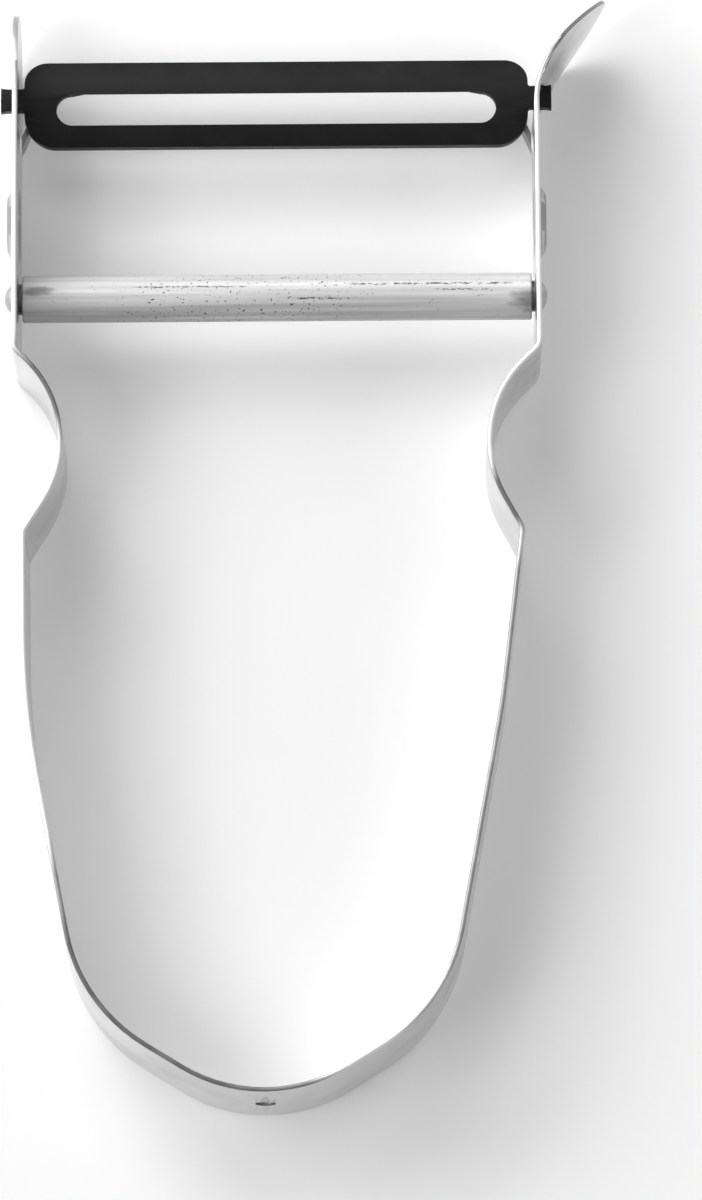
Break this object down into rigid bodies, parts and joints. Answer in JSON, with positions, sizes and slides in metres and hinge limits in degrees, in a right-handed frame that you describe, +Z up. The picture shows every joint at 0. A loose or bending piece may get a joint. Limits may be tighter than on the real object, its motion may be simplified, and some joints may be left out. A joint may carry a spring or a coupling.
{
  "type": "vegetable peeler",
  "caption": "U-shaped bent steel strip peeler with a swivelling slotted blade, a crossbar, finger notches and a bent-out gouger.",
  "frame": {"origin": "bottom centre of the whole peeler's box, lying flat on the strip's lower edges", "axes": "+X across the arms towards the gouger, +Y from the bow to the blade, +Z up across the strip's width"},
  "size_m": [0.0611, 0.1132, 0.013],
  "materials": {
    "strip_steel": "bright rolled steel strip, lightly scuffed",
    "blade_steel": "smooth black satin blade sheet",
    "tube_steel": "drawn tube with pits and draw lines",
    "rivet_steel": "plain steel rivet with rounded heads"
  },
  "bodies": {
    "handle": {"handle_band": "strip_steel", "crossbar_tube": "tube_steel", "crossbar_rivet": "rivet_steel"},
    "blade": {"swivel_blade": "blade_steel"}
  },
  "joints": [
    {"name": "blade_swivel", "type": "hinge", "parent": "handle", "child": "blade", "pos_m": [-0.00285, 0.04636, 0.0065], "axis": [-1, 0, 0], "range_deg": [0, 119]}
  ]
}
